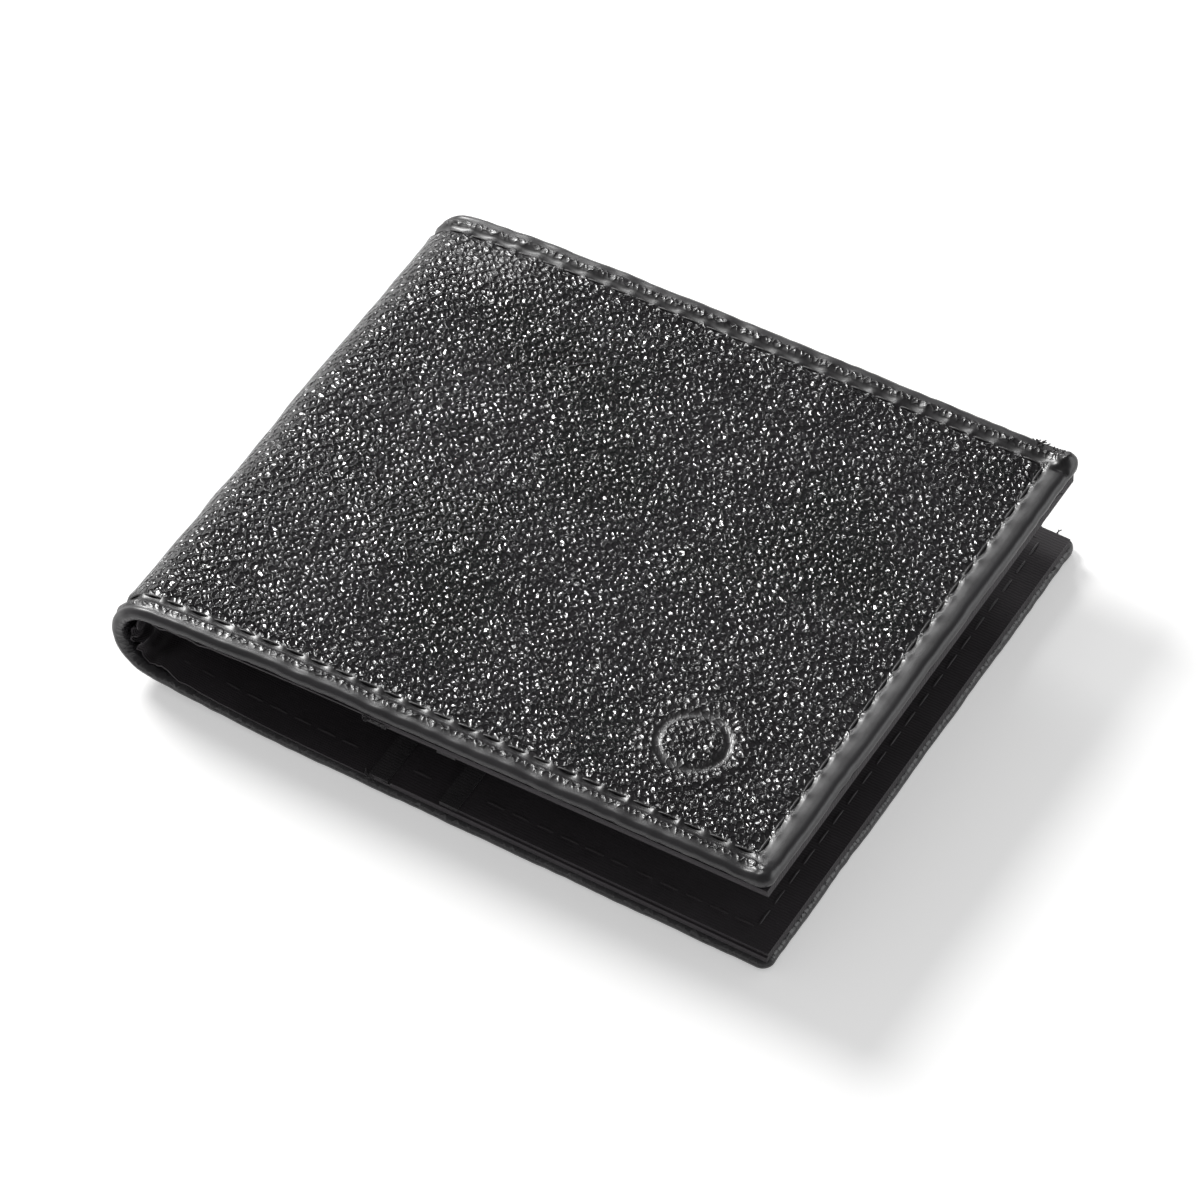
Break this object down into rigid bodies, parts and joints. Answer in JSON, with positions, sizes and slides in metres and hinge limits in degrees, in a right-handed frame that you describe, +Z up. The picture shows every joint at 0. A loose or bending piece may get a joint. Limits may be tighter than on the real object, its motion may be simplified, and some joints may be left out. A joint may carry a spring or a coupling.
{
  "type": "bifold wallet",
  "caption": "Slim bifold wallet: two leather-covered leaves on a soft folding spine, with a lined bill compartment and card pockets whose mouths face the spine.",
  "frame": {"origin": "centre of the closed wallet's outline, on the surface that it lies on", "axes": "+X from the folded spine to the open edge, +Y from the sewn foot to the mouth of the bill compartment, +Z up from the lower leaf to the upper leaf"},
  "size_m": [0.1146, 0.096, 0.0212],
  "materials": {
    "cover_leather": "black pebbled grain, semi-gloss, smoother and shinier on the turned edges",
    "stiffener_board": "bonded leather board, matt",
    "lining_cloth": "black ribbed lining cloth, matt",
    "pocket_cloth": "black fine twill on the bill panel and card pockets, matt",
    "edge_tape": "black ribbed binding tape with slightly frayed ends",
    "seam_thread": "black waxed sewing thread"
  },
  "bodies": {
    "lower_leaf": {"cover_lower": "cover_leather", "stiffener_lower": "stiffener_board", "lining_lower": "lining_cloth", "bill_panel_lower": "pocket_cloth", "back_pocket_lower": "pocket_cloth", "back_tape_lower": "edge_tape", "front_pocket_lower": "pocket_cloth", "front_tape_lower": "edge_tape", "seam_stitches_lower": "seam_thread", "pocket_stitches_lower": "seam_thread"},
    "spine_lower": {"cover_spine_lower": "cover_leather", "lining_spine_lower": "lining_cloth", "bill_panel_spine_lower": "pocket_cloth", "seam_stitches_spine_lower": "seam_thread"},
    "spine_upper": {"cover_spine_upper": "cover_leather", "lining_spine_upper": "lining_cloth", "bill_panel_spine_upper": "pocket_cloth", "seam_stitches_spine_upper": "seam_thread"},
    "upper_leaf": {"cover_upper": "cover_leather", "stiffener_upper": "stiffener_board", "lining_upper": "lining_cloth", "bill_panel_upper": "pocket_cloth", "back_pocket_upper": "pocket_cloth", "back_tape_upper": "edge_tape", "front_pocket_upper": "pocket_cloth", "front_tape_upper": "edge_tape", "seam_stitches_upper": "seam_thread", "pocket_stitches_upper": "seam_thread"}
  },
  "joints": [
    {"name": "spine_fold_lower", "type": "hinge", "parent": "lower_leaf", "child": "spine_lower", "pos_m": [-0.05315, 0, 0.00108], "axis": [0, -1, 0], "range_deg": [-2, 59.16]},
    {"name": "spine_fold_middle", "type": "hinge", "parent": "spine_lower", "child": "spine_upper", "pos_m": [-0.05735, 0, 0.00812], "axis": [0, -1, 0], "range_deg": [-2, 59.16]},
    {"name": "spine_fold_upper", "type": "hinge", "parent": "spine_upper", "child": "upper_leaf", "pos_m": [-0.05346, 0, 0.01533], "axis": [0, -1, 0], "range_deg": [-2, 59.16]}
  ],
  "couplings": [
    {"joint": "spine_fold_middle", "follows": "spine_fold_lower", "ratio": 1},
    {"joint": "spine_fold_upper", "follows": "spine_fold_lower", "ratio": 1}
  ]
}
